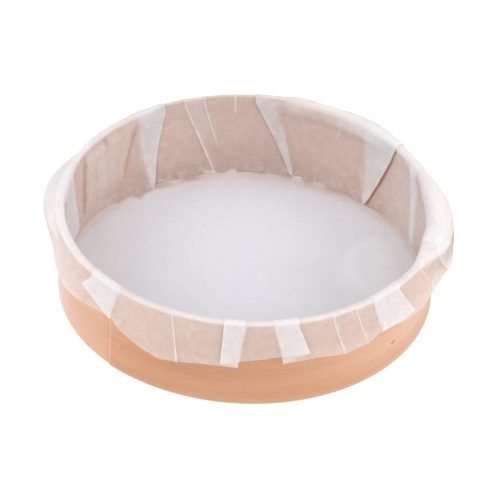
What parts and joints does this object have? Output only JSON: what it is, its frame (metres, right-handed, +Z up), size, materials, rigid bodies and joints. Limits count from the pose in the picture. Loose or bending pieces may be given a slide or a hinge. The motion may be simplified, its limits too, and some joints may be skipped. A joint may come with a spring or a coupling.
{
  "type": "bentwood proofing basket",
  "caption": "Shallow round bentwood basket with a pegged, white-faced base board and a thin pleated liner folded over its rim, for proofing dough.",
  "frame": {"origin": "centre of the board's underside, on the plane that the basket stands on", "axes": "+Z up out of the open top; -Y towards the front; +X to the right when seen from the front"},
  "size_m": [0.2531, 0.2428, 0.0639],
  "materials": {
    "beech": "smooth sanded beech, satin, unvarnished",
    "white_face": "white-faced board, matt",
    "peg_wood": "end grain, sanded flush",
    "liner_sheet": "thin translucent white non-woven sheet, matt"
  },
  "bodies": {
    "basket": {"wall_hoop": "beech", "base_board": "white_face", "base_peg_1": "peg_wood", "base_peg_2": "peg_wood", "base_peg_3": "peg_wood", "base_peg_4": "peg_wood", "base_peg_5": "peg_wood", "base_peg_6": "peg_wood", "base_peg_7": "peg_wood", "base_peg_8": "peg_wood"},
    "lift_out_liner": {"liner": "liner_sheet"}
  },
  "joints": [
    {"name": "liner_lift", "type": "slide", "parent": "basket", "child": "lift_out_liner", "axis": [0, 0, 1], "range_m": [0, 0.1]}
  ]
}
